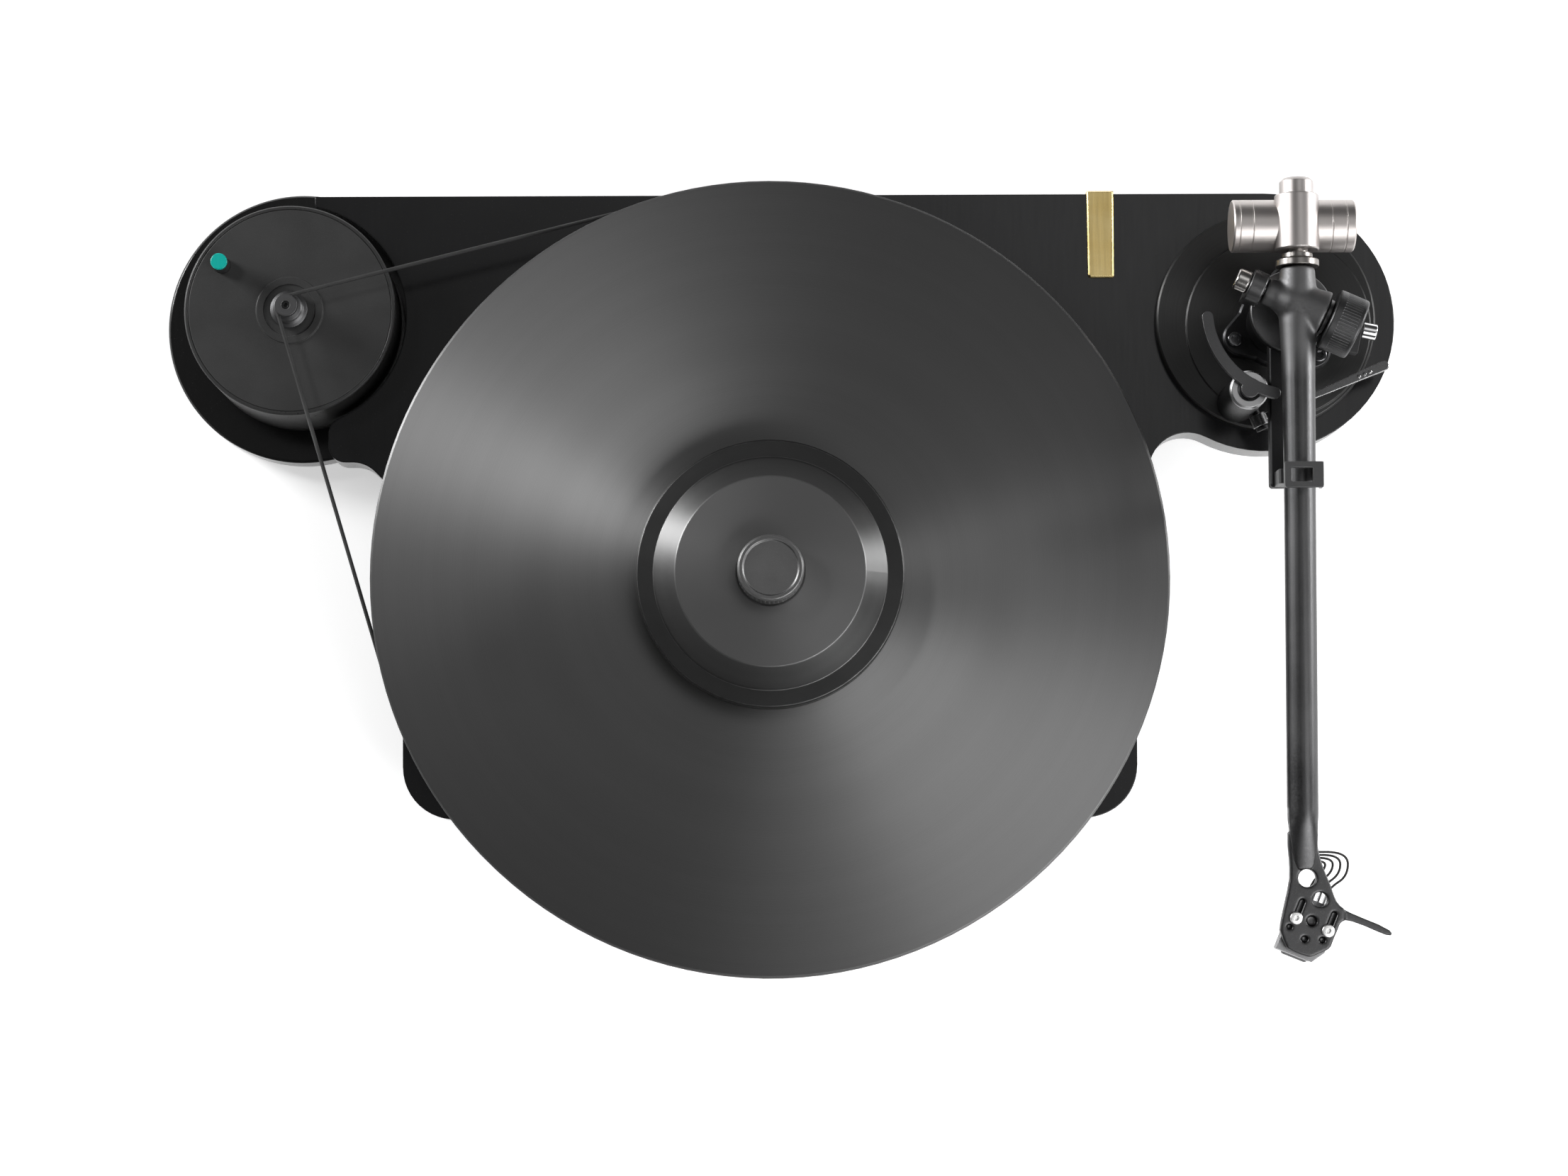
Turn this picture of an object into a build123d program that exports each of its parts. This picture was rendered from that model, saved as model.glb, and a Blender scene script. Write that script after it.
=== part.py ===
from build123d import *
import math
import os

os.makedirs("parts", exist_ok=True)

# Turntable record player. Millimetres, +Z up, +X to the right and +Y to the back.
# Everything is laid out about the platter axis, and moved at the end so that the
# origin is the middle of the footprint on the table.

# ---------------------------------------------------------------- levels
plinth_z0 = 26.0
plinth_z1 = 42.0
board_z1 = 46.5
platter_z0 = 49.0
platter_z1 = 73.0
arm_z = 93.0
belt_z = 63.0

# ---------------------------------------------------------------- plan
platter_r = 150.0
end_x, end_y, end_r = 191.0, 101.0, 50.0
back_y = 151.0
board_r = 42.0
foot_pitch_r = 139.2
ear_r = 19.9
motor_x, motor_y = -182.7, 104.6
motor_base_r = 53.0
can_r = 40.3
lid_r = 38.9
cutout_r = 43.2
can_z0 = 14.0
can_z1 = 55.0
button_dx, button_dy = -25.9, 17.4
button_r = 3.15
pulley_belt_r = 4.05
platter_belt_r = 149.6
belt_d = 1.5
pivot_x, pivot_y = 195.6, 98.5
skew_deg = -23.8
clamp_r = 50.0
clamp_gap = 0.3
tube_r_root = 6.25
tube_r_mid = 5.85
tube_r_tip = 5.35
stage_r = 35.5
stage_h = 0.8
lift_x, lift_y = 179.2, 68.8
lever_x, lever_y, lever_z = 185.8, 61.4, 58.0
lever_dir_deg = 23.0
bias_dir_deg = -11.5

# Middle of the footprint: motor base to right end, platter front to motor base.
origin_x = ((end_x + end_r) + (motor_x - motor_base_r)) / 2
origin_y = ((motor_y + motor_base_r) + (-platter_r)) / 2

MINZ = (Align.CENTER, Align.CENTER, Align.MIN)
parts = {}


def cyl(x, y, z0, z1, r):
    return Pos(x, y, z0) * Cylinder(r, z1 - z0, align=MINZ)


def tube(x, y, z0, z1, r_out, r_in):
    return cyl(x, y, z0, z1, r_out) - cyl(x, y, z0 - 1, z1 + 1, r_in)


def box(x0, x1, y0, y1, z0, z1):
    return Pos((x0 + x1) / 2, (y0 + y1) / 2, (z0 + z1) / 2) * Box(x1 - x0, y1 - y0, z1 - z0)


def corner_edges(points):
    """Edges of a closed polygon; a point given as (x, y, r) is rounded by r."""
    n = len(points)
    legs = []
    for i in range(n):
        x, y = points[i][:2]
        r = points[i][2] if len(points[i]) > 2 else 0
        if not r:
            legs.append([(x, y)])
            continue
        ax, ay = points[i - 1][:2]
        bx, by = points[(i + 1) % n][:2]
        ua = (ax - x, ay - y)
        ub = (bx - x, by - y)
        la, lb = math.hypot(*ua), math.hypot(*ub)
        ua = (ua[0] / la, ua[1] / la)
        ub = (ub[0] / lb, ub[1] / lb)
        half = math.acos(max(-1, min(1, ua[0] * ub[0] + ua[1] * ub[1]))) / 2
        t = r / math.tan(half)
        p, q = (x + ua[0] * t, y + ua[1] * t), (x + ub[0] * t, y + ub[1] * t)
        m = (ua[0] + ub[0], ua[1] + ub[1])
        lm = math.hypot(*m)
        d = r / math.sin(half) - r
        legs.append([p, (x + m[0] / lm * d, y + m[1] / lm * d), q])
    edges = []
    for i in range(n):
        leg, nxt = legs[i], legs[(i + 1) % n]
        if len(leg) == 3:
            edges.append(Edge.make_three_point_arc(*[Vector(a, b, 0) for a, b in leg]))
        p, q = leg[-1], nxt[0]
        if math.hypot(p[0] - q[0], p[1] - q[1]) > 1e-6:
            edges.append(Edge.make_line(Vector(p[0], p[1], 0), Vector(q[0], q[1], 0)))
    return edges


def poly(points):
    return Face(Wire(corner_edges(points)))


def prism(points, z0, z1):
    return extrude(Pos(0, 0, z0) * poly(points), z1 - z0, dir=(0, 0, 1))


def turned(profile, x=0, y=0):
    """Solid of revolution about a vertical axis at x, y; profile is (r, z[, round])."""
    return Pos(x, y, 0) * revolve(Plane.XZ * poly(profile), Axis.Z)


def turned_y(profile, x, z):
    """Solid of revolution about an axis along Y at x, z; profile is (r, y[, round])."""
    return Pos(x, 0, z) * revolve(poly(profile), Axis.Y)


def turned_x(profile, y, z):
    """Solid of revolution about an axis along X at y, z; profile is (x, r[, round])."""
    return Pos(0, y, z) * revolve(poly(profile), Axis.X)


def soft(shape, edges, sizes, kind=fillet):
    """Rounds edges by the first size that leaves a sound solid."""
    for size in sizes:
        try:
            out = kind(edges, size)
            if out.is_valid and out.volume > 0.5 * shape.volume:
                return out
        except Exception:
            pass
    return shape


def joined(*shapes):
    out = shapes[0]
    for s in shapes[1:]:
        out = out + s
    return out


def around(x, y, r, angles):
    return [(x + r * math.cos(math.radians(a)), y + r * math.sin(math.radians(a))) for a in angles]


# ---------------------------------------------------------------- plinth
feet = around(0, 0, foot_pitch_r, (210, 330, 90))
outline = poly(
    [
        (-174.8, back_y, 0.8),
        (end_x, back_y),
        (end_x, end_y - end_r),
        (168.0, 56.65),
        (146.0, 43.3),
        (140.5, 22.0, 40),
        (140.5, feet[1][1]),
        (108.7, -85.2),
        (-108.7, -85.2),
        (-140.5, feet[0][1]),
        (-140.5, 33.4, 20),
        (-155.0, 47.9, 12),
        (-169.3, 47.9, 6.5),
        (-169.3, 75.0),
        (-174.8, 75.0),
    ]
)
plinth = extrude(outline, plinth_z1 - plinth_z0, dir=(0, 0, 1))
plinth = Pos(0, 0, plinth_z0) * plinth
plinth += cyl(end_x, end_y, plinth_z0, plinth_z1, end_r)
for fx, fy in feet[:2]:
    plinth += cyl(fx, fy, plinth_z0, plinth_z1, ear_r)
plinth -= cyl(161.0, 43.3, 0, 60, 15.0)
plinth -= cyl(0, -230.0, 0, 60, 181.0)
plinth -= cyl(motor_x, motor_y, 0, 60, cutout_r)
plinth = plinth.clean()


def uprights(shape, x, y, reach=2.0):
    out = []
    for e in shape.edges():
        lo, hi = e.bounding_box().min, e.bounding_box().max
        if hi.Z - lo.Z > 10 and math.hypot(lo.X - x, lo.Y - y) < reach and math.hypot(hi.X - x, hi.Y - y) < reach:
            out.append(e)
    return out


for vx, vy, sizes in ((-169.3, 63.5, (6.5, 5, 3)), (-174.8, 147.1, (1.2, 0.6))):
    plinth = soft(plinth, uprights(plinth, vx, vy), sizes)
rim = [e for e in plinth.edges() if abs(e.bounding_box().min.Z - plinth_z1) < 1e-4]
plinth = soft(plinth, rim, (0.8, 0.5), chamfer)
plinth -= cyl(0, 0, plinth_z0 - 1, plinth_z1 + 1, 14.0)
for fx, fy in feet:
    plinth -= cyl(fx, fy, plinth_z0 - 1, plinth_z1 - 4, 4.05)
for sx, sy in around(0, 0, 22.0, (90, 210, 330)):
    plinth -= cyl(sx, sy, plinth_z1 - 10, plinth_z1 + 1, 1.5)
plinth -= cyl(pivot_x, pivot_y, plinth_z0 - 1, plinth_z1 + 1, 11.5)
board_holes = around(end_x, end_y, 34.0, (150, 270, 30))
for sx, sy in board_holes:
    plinth -= cyl(sx, sy, plinth_z0 - 1, plinth_z1 + 1, 1.6)
    plinth -= cyl(sx, sy, plinth_z0 - 1, plinth_z0 + 3.2, 3.2)
parts["plinth"] = plinth

# Plain brass plate let over the back edge.
badge = prism([(123.3, 118.4, 1.2), (133.2, 118.4, 0.6), (133.2, back_y + 1.0), (122.9, back_y + 1.0)], plinth_z1, plinth_z1 + 1.2)
badge = soft(badge, badge.faces().sort_by(Axis.Z)[-1].edges(), (0.7, 0.5), chamfer)
badge += box(122.9, 133.2, back_y, back_y + 1.0, plinth_z0 + 4.0, plinth_z1)
parts["badge_plate"] = badge

# ---------------------------------------------------------------- main bearing
base = turned([(5.0, 31.0), (13.98, 31.0), (13.98, plinth_z1), (30.0, plinth_z1), (30.0, 46.0, 0.8), (5.0, 46.0)])
for sx, sy in around(0, 0, 22.0, (90, 210, 330)):
    base -= cyl(sx, sy, plinth_z1 - 1, 47, 1.6)
    base -= Pos(sx, sy, 46.0 - 1.6) * Cone(1.6, 3.3, 1.62, align=MINZ)
parts["bearing_base"] = base
shaft = turned([(0, 31.0, 0), (5.0, 31.0), (5.0, 65.0, 0.4), (2.6, 65.0), (2.6, 63.45), (0, 63.45)])
parts["bearing_shaft"] = shaft
parts["thrust_ball"] = Pos(0, 0, 66.0) * Sphere(2.5)
screws = None
for sx, sy in around(0, 0, 22.0, (90, 210, 330)):
    s = turned([(0, 33.0), (1.45, 33.0), (1.45, 44.4), (3.15, 45.95), (1.3, 45.95), (1.3, 44.6), (0, 44.6)], sx, sy)
    screws = s if screws is None else screws + s
parts["bearing_screws"] = screws

# ---------------------------------------------------------------- levelling feet
for (fx, fy), name in zip(feet, ("left_foot", "right_foot", "rear_foot")):
    foot = turned(
        [(0, 0), (9.0, 0, 0.8), (10.0, 2.2), (15.0, 15.0, 0.8), (15.0, 22.0, 0.8), (9.0, 22.0), (4.0, 22.0), (4.0, 36.6, 0.5), (0, 36.6)],
        fx,
        fy,
    )
    # Finger grooves round the grip band.
    for gx, gy in around(fx, fy, 15.6, range(0, 360, 20)):
        foot -= cyl(gx, gy, 14.0, 23.0, 1.1)
    parts[name] = foot

# Locking rings between the feet and the plinth, on the plinth's side.
rings = None
for fx, fy in feet:
    s = turned([(4.1, 23.0), (9.5, 23.0, 0.4), (9.5, plinth_z0), (4.1, plinth_z0)], fx, fy)
    rings = s if rings is None else rings + s
parts["foot_lock_rings"] = rings

# ---------------------------------------------------------------- motor unit
pads = None
for px, py in around(motor_x, motor_y, 42.0, (90, 210, 330)):
    p = turned([(0, 0), (7.0, 0, 0.4), (7.0, 2.0), (0, 2.0)], px, py)
    pads = p if pads is None else pads + p
parts["motor_base_pads"] = pads
mbase = turned([(0, 2.0), (motor_base_r - 1, 2.0), (motor_base_r, 3.0), (motor_base_r, can_z0 - 0.8), (motor_base_r - 0.8, can_z0), (0, can_z0)], motor_x, motor_y)
parts["motor_base"] = mbase
can = turned(
    [
        (36.8, can_z0),
        (can_r, can_z0),
        (can_r, can_z1 - 0.5),
        (can_r - 0.5, can_z1),
        (lid_r, can_z1),
        (lid_r, can_z1 - 5.0),
        (36.8, can_z1 - 5.0),
    ],
    motor_x,
    motor_y,
)
inlet_dir = 125.0
inlet_rot = Pos(motor_x, motor_y, 0) * Rot(0, 0, inlet_dir)
can -= inlet_rot * Pos(38.5, 0, 28.0) * Box(9, 11.0, 10.0)
parts["motor_can"] = can
inlet = inlet_rot * Pos(38.0, 0, 28.0) * Box(6.0, 10.98, 9.98)
inlet -= inlet_rot * Pos(41.0, 0, 28.0) * Rot(0, 90, 0) * Cylinder(3.0, 9.0)
inlet += inlet_rot * Pos(38.6, 0, 28.0) * Rot(0, 90, 0) * Cylinder(0.9, 4.6)
parts["power_inlet"] = inlet
lid = turned(
    [
        (0, can_z1 - 5.0),
        (lid_r - 0.02, can_z1 - 5.0),
        (lid_r - 0.02, can_z1 - 0.35),
        (lid_r - 0.4, can_z1),
        (12.9, can_z1),
        (12.6, can_z1 + 0.5),
        (10.0, can_z1 + 0.5),
        (9.7, can_z1),
        (0, can_z1),
    ],
    motor_x,
    motor_y,
)
lid -= cyl(motor_x, motor_y, can_z1 - 6, can_z1 + 2, 5.6)
bx, by = motor_x + button_dx, motor_y + button_dy
lid -= cyl(bx, by, can_z1 - 6, can_z1 + 2, button_r + 0.05)
parts["motor_lid"] = lid
body = turned([(0, 18.0), (17.5, 18.0, 1.0), (17.5, can_z1 - 5.0), (5.5, can_z1 - 5.0), (5.5, can_z1 - 1.2), (2.2, can_z1 - 1.2), (2.2, 40.0), (0, 40.0)], motor_x, motor_y)
parts["motor_body"] = body
board = box(motor_x - 32, motor_x - 19.5, motor_y - 12, motor_y + 12, 14.0, 15.6)
board += box(motor_x - 30, motor_x - 24, motor_y - 9, motor_y + 1, 15.6, 24.0)
board += cyl(motor_x - 25, motor_y + 6.5, 15.6, 27.0, 4.0)
parts["motor_board"] = board
switch = box(bx - 5.5, bx + 5.5, by - 4.5, by + 4.5, 36.0, can_z1 - 5.0)
switch &= cyl(motor_x, motor_y, 30, 60, 36.7)
switch -= cyl(bx, by, 44.0, 60, button_r + 0.3)
parts["switch_body"] = switch
button = turned([(0, 46.5), (button_r, 46.5), (button_r, 62.0), (0, 62.0)], bx, by)
parts["power_button"] = button
parts["button_cap"] = turned([(0, 62.0), (button_r, 62.0), (button_r, 63.1, 0.35), (0, 63.1)], bx, by)

mshaft = turned([(0, 40.4), (2.15, 40.4), (2.15, 64.0), (0, 64.0)], motor_x, motor_y)
parts["motor_shaft"] = mshaft
groove = pulley_belt_r - belt_d / 2 - 0.25
pulley = turned(
    [
        (2.16, 55.9),
        (5.2, 55.9),
        (7.1, 56.6),
        (7.1, 57.4, 0.2),
        (5.9, 57.9),
        (4.9, 58.6),
        (4.9, 60.0),
        (5.6, 60.7),
        (5.0, 61.3),
        (groove, 62.0),
        (groove, 64.0),
        (4.35, 64.8),
        (4.35, 66.5, 0.3),
        (1.6, 66.5),
        (1.6, 64.05),
        (2.16, 64.05),
    ],
    motor_x,
    motor_y,
)
parts["pulley"] = pulley
grub = turned([(0, 64.1), (1.55, 64.1), (1.55, 66.1), (0, 66.1)], motor_x, motor_y)
grub -= Pos(motor_x, motor_y, 65.0) * extrude(RegularPolygon(0.9, 6), 2.0)
parts["pulley_grub_screw"] = grub

# Belt: two straight runs and two arcs of a round section.
dist = math.hypot(motor_x, motor_y)
phi = math.atan2(motor_y, motor_x)
lean = math.acos((platter_belt_r - pulley_belt_r) / dist)
a1, a2 = phi + lean, phi - lean
t1 = [(platter_belt_r * math.cos(a), platter_belt_r * math.sin(a)) for a in (a1, a2)]
t2 = [(motor_x + pulley_belt_r * math.cos(a), motor_y + pulley_belt_r * math.sin(a)) for a in (a1, a2)]


def arc_torus(cx, cy, r, start, sweep):
    sec = Plane(
        origin=(cx + r * math.cos(start), cy + r * math.sin(start), belt_z),
        x_dir=(math.cos(start), math.sin(start), 0),
        z_dir=(-math.sin(start), math.cos(start), 0),
    ) * Circle(belt_d / 2)
    return revolve(sec, Axis((cx, cy, belt_z), (0, 0, 1)), math.degrees(sweep))


big = arc_torus(0, 0, platter_belt_r, a1, 2 * math.pi - 2 * lean)
small = arc_torus(motor_x, motor_y, pulley_belt_r, a2, 2 * lean)
belt = joined(big, small)
for (px, py), (qx, qy) in zip(t1, t2):
    run = math.hypot(qx - px, qy - py)
    sec = Plane(origin=(px, py, belt_z), z_dir=((qx - px) / run, (qy - py) / run, 0)) * Circle(belt_d / 2)
    belt += extrude(sec, run)
parts["drive_belt"] = belt

# ---------------------------------------------------------------- platter
gz = 1.5
gr = platter_belt_r - belt_d / 2 - 0.25
platter = turned(
    [
        (16.0, platter_z0),
        (platter_r - 1.0, platter_z0),
        (platter_r, platter_z0 + 1.0),
        (platter_r, belt_z - gz),
        (gr, belt_z - gz + 0.2),
        (gr, belt_z + gz - 0.2),
        (platter_r, belt_z + gz),
        (platter_r, platter_z1 - 0.7),
        (platter_r - 0.7, platter_z1),
        (16.0, platter_z1),
    ]
)
parts["platter"] = platter
hub = turned(
    [
        (8.0, 47.2),
        (30.0, 47.2, 0.6),
        (30.0, platter_z0),
        (15.98, platter_z0),
        (15.98, platter_z1 - 0.1),
        (3.57, platter_z1 - 0.1),
        (3.57, 70.0),
        (0, 70.0),
        (0, 68.9),
        (6.0, 68.9),
        (6.0, 65.4),
        (8.0, 65.4),
    ]
)
parts["platter_hub"] = hub
parts["bearing_sleeve"] = turned([(5.05, 47.2), (7.99, 47.2), (7.99, 65.3), (5.05, 65.3)])
parts["spindle"] = turned([(0, 70.0), (3.55, 70.0), (3.55, 88.0), (2.2, 90.0, 0.6), (0, 90.6)])

# ---------------------------------------------------------------- record clamp
cz = platter_z1 + clamp_gap
clamp = turned(
    [
        (9.0, cz + 2.5),
        (40.0, cz + 2.5),
        (40.0, cz + 1.2),
        (clamp_r - 0.6, cz + 1.2),
        (clamp_r, cz + 1.8),
        (clamp_r, cz + 12.2),
        (clamp_r - 0.6, cz + 12.8),
        (43.5, cz + 12.8),
        (35.6, cz + 20.5),
        (35.2, cz + 20.9),
        (12.9, cz + 20.9),
        (12.9, cz + 19.9),
        (9.0, cz + 19.9),
    ]
)
parts["clamp_body"] = clamp
parts["clamp_pad"] = turned([(16.0, cz), (39.9, cz, 0.3), (39.9, cz + 2.5), (16.0, cz + 2.5)])
collet = turned([(3.62, cz + 1.0), (6.0, cz + 1.0), (8.98, cz + 4.0), (8.98, cz + 18.0), (3.62, cz + 18.0)])
parts["clamp_collet"] = collet
knob = turned(
    [
        (0, cz + 18.3),
        (8.6, cz + 18.3),
        (8.6, cz + 20.3),
        (12.3, cz + 20.3),
        (12.3, cz + 32.9),
        (11.6, cz + 33.7),
        (10.4, cz + 33.7),
        (9.9, cz + 33.3),
        (0, cz + 33.3),
    ]
)
knob -= Pos(0, 0, cz + 17) * Cone(4.2, 3.0, 4, align=MINZ)
for i in range(48):
    a = math.radians(i * 7.5)
    knob -= cyl(12.55 * math.cos(a), 12.55 * math.sin(a), cz + 22.5, cz + 31.5, 0.45)
parts["clamp_knob"] = knob

# ---------------------------------------------------------------- arm board and arm base
armboard = turned(
    [
        (0, plinth_z1),
        (board_r, plinth_z1),
        (board_r, board_z1 - 0.6),
        (board_r - 0.6, board_z1),
        (0, board_z1),
    ],
    end_x,
    end_y,
)
armboard += turned([(0, plinth_z1 + 1), (stage_r, plinth_z1 + 1), (stage_r, board_z1 + stage_h - 0.4), (stage_r - 0.4, board_z1 + stage_h), (0, board_z1 + stage_h)], pivot_x, pivot_y)
armboard -= cyl(pivot_x, pivot_y, 40, 50, 11.5)
for sx, sy in board_holes:
    armboard -= cyl(sx, sy, plinth_z1 - 1, plinth_z1 + 3.0, 1.3)
parts["armboard"] = armboard
bscrews = None
for sx, sy in board_holes:
    s = turned([(0, plinth_z0 + 0.3), (3.1, plinth_z0 + 0.3), (3.1, plinth_z0 + 3.2), (1.25, plinth_z0 + 3.2), (1.25, plinth_z1 + 2.8), (0, plinth_z1 + 2.8)], sx, sy)
    bscrews = s if bscrews is None else bscrews + s
parts["armboard_screws"] = bscrews

lobe_angles = (199.5, 319.5, 79.5)
lobes = around(pivot_x, pivot_y, 18.9, lobe_angles)
stage_z = board_z1 + stage_h
corners = around(pivot_x, pivot_y, 30.0, lobe_angles)
arm_base = prism([(cx, cy, 7.0) for cx, cy in corners], stage_z, stage_z + 5.5)
arm_base &= cyl(pivot_x, pivot_y, stage_z, stage_z + 5.5, 24.5)
arm_base += cyl(pivot_x, pivot_y, stage_z, stage_z + 5.5, 16.5)
top_edges = [e for e in arm_base.edges() if abs(e.bounding_box().min.Z - (stage_z + 5.5)) < 1e-4]
arm_base = soft(arm_base, top_edges, (0.8, 0.5), chamfer)
arm_base -= cyl(pivot_x, pivot_y, 40, 60, 13.02)
for lx, ly in lobes:
    arm_base -= cyl(lx, ly, 40, 60, 1.7)
    armboard -= cyl(lx, ly, plinth_z1 + 0.6, 50, 1.4)
parts["arm_base"] = arm_base
parts["armboard"] = armboard
abolts = None
for lx, ly in lobes:
    s = turned([(0, plinth_z1 + 0.8), (1.35, plinth_z1 + 0.8), (1.35, stage_z + 5.5), (2.75, stage_z + 5.5), (2.75, stage_z + 8.2, 0.5), (0, stage_z + 8.2)], lx, ly)
    s -= Pos(lx, ly, stage_z + 6.8) * extrude(RegularPolygon(1.4, 6), 3.0)
    abolts = s if abolts is None else abolts + s
parts["arm_base_bolts"] = abolts

yoke_z0 = 75.4
pillar = turned(
    [
        (0, 52.0),
        (0, 20.0),
        (11.0, 20.0),
        (11.0, stage_z),
        (13.0, stage_z),
        (13.0, yoke_z0 - 0.4, 0.8),
        (8.0, yoke_z0 - 0.4),
        (8.0, 72.0),
        (3.05, 72.0),
        (3.05, 52.0),
    ],
    pivot_x,
    pivot_y,
)
parts["arm_pillar"] = pillar
nut = turned([(11.02, 20.5), (17.0, 20.5, 0.5), (17.0, plinth_z0), (11.02, plinth_z0)], pivot_x, pivot_y)
for gx, gy in around(pivot_x, pivot_y, 17.2, range(0, 360, 30)):
    nut -= cyl(gx, gy, 19, 30, 1.2)
parts["arm_nut"] = nut

# ---------------------------------------------------------------- arm rest
bar_x0, bar_x1 = 187.8, 197.0
bar_z0, bar_z1 = 69.0, 74.4
bar = prism([(bar_x0, 33.0, 1.2), (bar_x1, 33.0, 1.2), (bar_x1, 94.0), (bar_x0, 94.0)], bar_z0, bar_z1)
long_edges = [e for e in bar.edges() if abs(e.bounding_box().min.Z - bar_z1) < 1e-4 and e.length > 40 and abs(e.center().X - bar_x0) < 0.5]
bar = soft(bar, long_edges, (0.55,), chamfer)
bar -= cyl(pivot_x, pivot_y, 60, 90, 13.02)
parts["rest_bar"] = bar
tx = pivot_x
roof_z0, roof_z1 = 104.2, 106.0
# Hook seen along the arm: foot on the bar, right wall, roof over the tube.
hook = [
    (tx - 6.4, bar_z1),
    (tx + 1.0, bar_z1),
    (tx + 8.1, 81.0, 3.0),
    (tx + 8.1, 97.6, 3.0),
    (tx + 6.7, roof_z1, 1.2),
    (tx - 7.5, roof_z1, 1.0),
    (tx - 7.5, roof_z0, 0.5),
    (tx + 5.3, roof_z0, 0.8),
    (tx + 6.7, 97.0, 3.0),
    (tx + 6.7, 87.4, 3.0),
    (tx + 3.0, 85.4, 2.0),
    (tx - 6.4, 85.4, 1.0),
]
clip = Plane.XZ * poly(hook)
clip = Pos(0, 38.4, 0) * extrude(clip, 5.4, dir=(0, -1, 0))
clip += prism([(tx - 7.5, 28.9, 0.8), (tx + 6.7, 28.9, 0.8), (tx + 6.7, 38.4, 0.8), (tx - 7.5, 38.4, 0.8)], roof_z0, roof_z1)
clip += prism([(tx + 5.4, 28.9, 0.4), (tx + 6.7, 28.9, 0.4), (tx + 6.7, 38.4), (tx + 5.4, 38.4)], 102.0, roof_z1 - 0.5)
# Window in the roof between two ribs.
clip -= prism([(tx - 5.1, 31.0, 0.6), (tx + 2.8, 31.0, 0.6), (tx + 2.8, 36.2, 0.6), (tx - 5.1, 36.2, 0.6)], 100, 110)
parts["rest_clip"] = clip

# ---------------------------------------------------------------- arm lift
lift_r = 7.3
lift = turned([(2.1, board_z1), (lift_r, board_z1), (lift_r, 79.0), (2.1, 79.0)], lift_x, lift_y)
armboard -= cyl(lift_x, lift_y, board_z1, board_z1 + 5, lift_r + 0.02)
parts["armboard"] = armboard
lift_ring_z = 81.0
parts["lift_ring"] = turned([(3.4, 79.0), (7.3, 79.0), (7.3, lift_ring_z - 0.9, 0.4), (6.6, lift_ring_z, 0.3), (4.4, lift_ring_z, 0.3), (3.4, lift_ring_z - 0.8)], lift_x, lift_y)
# The lever hangs on a pin in the cylinder's front. Its own frame: x along the lever.
brk = Pos(lever_x, lever_y, 0) * Rot(0, 0, lever_dir_deg)


def cross_pin(y0, y1, r):
    return brk * Pos(0, y0, lever_z) * Rot(-90, 0, 0) * Cylinder(r, y1 - y0, align=MINZ)


pin = cross_pin(-3.6, 5.0, 1.5) + cross_pin(-4.8, -3.6, 2.5)
parts["lever_pin"] = pin
lift -= cross_pin(-8.0, 5.0, 1.5)
parts["lift_cylinder"] = lift
lever = brk * box(-1.0, 20.0, -1.7, 0.8, lever_z - 1.6, lever_z + 1.6)
lever += cross_pin(-3.2, 1.4, 3.2)
lever += brk * prism([(18.0, -1.5), (30.0, -1.9), (53.6, -2.4, 1.7), (53.6, 1.5, 1.7), (30.0, 0.8), (18.0, 0.6)], lever_z - 1.1, lever_z + 1.1)
for i in range(3):
    lever += brk * Pos(41.5 + 2.25 * i, -0.5, lever_z + 1.1) * Cylinder(0.6, 0.8)
lever -= cross_pin(-8.0, 5.0, 1.55)
parts["lift_lever"] = lever
cr0, cr1 = 30.2, 34.3
cradle = Sketch() + Pos(pivot_x, pivot_y) * Circle(cr1) - Pos(pivot_x, pivot_y) * Circle(cr0)
wedge = poly(
    [(pivot_x, pivot_y)]
    + around(pivot_x, pivot_y, 60, (185, 210, 234, 257))
)
cradle = cradle & (Sketch() + wedge)
for ang in (185, 257):
    cxp, cyp = around(pivot_x, pivot_y, (cr0 + cr1) / 2, (ang,))[0]
    cradle += Pos(cxp, cyp) * Circle((cr1 - cr0) / 2)
cradle += Pos(lift_x, lift_y) * Circle(3.4)
cradle_z0, cradle_z1 = 81.5, 84.2
cradle = extrude(cradle, cradle_z1 - cradle_z0, dir=(0, 0, 1))
cradle = Pos(0, 0, cradle_z0) * cradle
cradle += cyl(lift_x, lift_y, 52.0, cradle_z0 + 0.5, 2.0)
parts["lift_cradle"] = cradle

# ---------------------------------------------------------------- bias rail and knob
bd = Pos(pivot_x, pivot_y, 0) * Rot(0, 0, bias_dir_deg)
rail = bd * box(10.0, 27.0, -4.5, 4.5, 67.5, 73.5)
rail += bd * box(24.0, 28.0, -9.5, 9.5, 67.5, 73.5)
rail -= cyl(pivot_x, pivot_y, 60, 90, 13.02)
rail -= bd * box(26.6, 29.0, -7.5, 7.5, 69.4, 71.6)
parts["bias_rail"] = rail
bk = bd * Pos(28.3, 0, 70.5) * Rot(0, 90, 0) * Cylinder(3.0, 5.5, align=MINZ)
bk = soft(bk, bk.edges(), (0.5,))
bk += bd * Pos(26.9, 0, 70.5) * Rot(0, 90, 0) * Cylinder(0.7, 2.0, align=MINZ)
parts["bias_knob"] = bk

# ---------------------------------------------------------------- yoke
yk = Pos(pivot_x, pivot_y, 0) * Rot(0, 0, skew_deg)
yoke = cyl(pivot_x, pivot_y, yoke_z0, yoke_z0 + 4.2, 15.5)
yoke = soft(yoke, yoke.edges(), (0.8,))


def on_axle(a0, a1, r):
    return yk * Pos(a0, 0, arm_z) * Rot(0, 90, 0) * Cylinder(r, a1 - a0, align=MINZ)


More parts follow.
